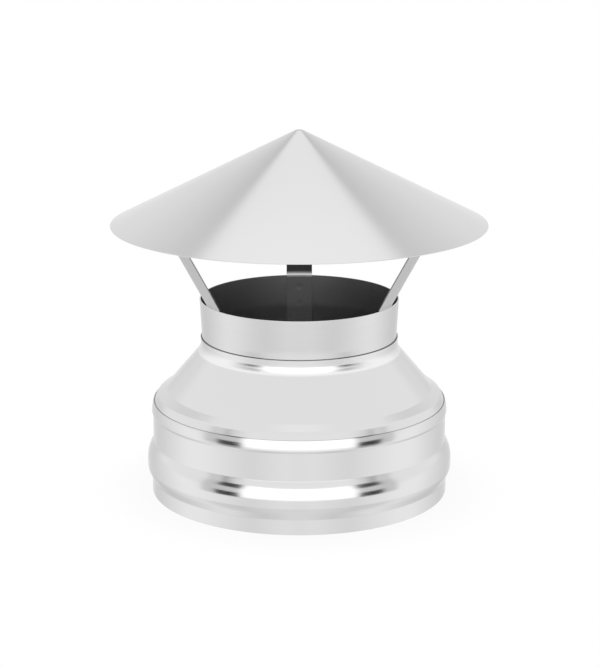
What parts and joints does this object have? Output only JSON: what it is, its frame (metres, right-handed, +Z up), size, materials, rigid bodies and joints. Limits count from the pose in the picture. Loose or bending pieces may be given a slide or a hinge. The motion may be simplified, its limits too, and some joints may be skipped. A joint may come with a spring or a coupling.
{
  "type": "chimney cap",
  "caption": "Twin-wall chimney cap in bright sheet steel: a conical rain hood on strap struts above a flue tube, with a conical cover and a beaded skirt that slips over the casing.",
  "frame": {"origin": "centre of the skirt's bottom edge", "axes": "+Z up along the cap's axis, from the skirt to the hood's apex; -Y is the front; one strut stands at +Y and the other two 60 degrees to each side of -Y"},
  "size_m": [0.2528, 0.2528, 0.2478],
  "materials": {
    "hood_sheet": "smooth bright rolled sheet",
    "strap": "plain rolled strip, cut edges",
    "flue_sheet": "satin sheet with soft upright bands",
    "casing_sheet": "smooth bright rolled sheet"
  },
  "bodies": {
    "root": {"hood": "hood_sheet", "strut_back": "strap", "strut_front_left": "strap", "strut_front_right": "strap", "flue_tube": "flue_sheet", "cone_cover": "casing_sheet", "skirt": "casing_sheet"}
  },
  "joints": []
}
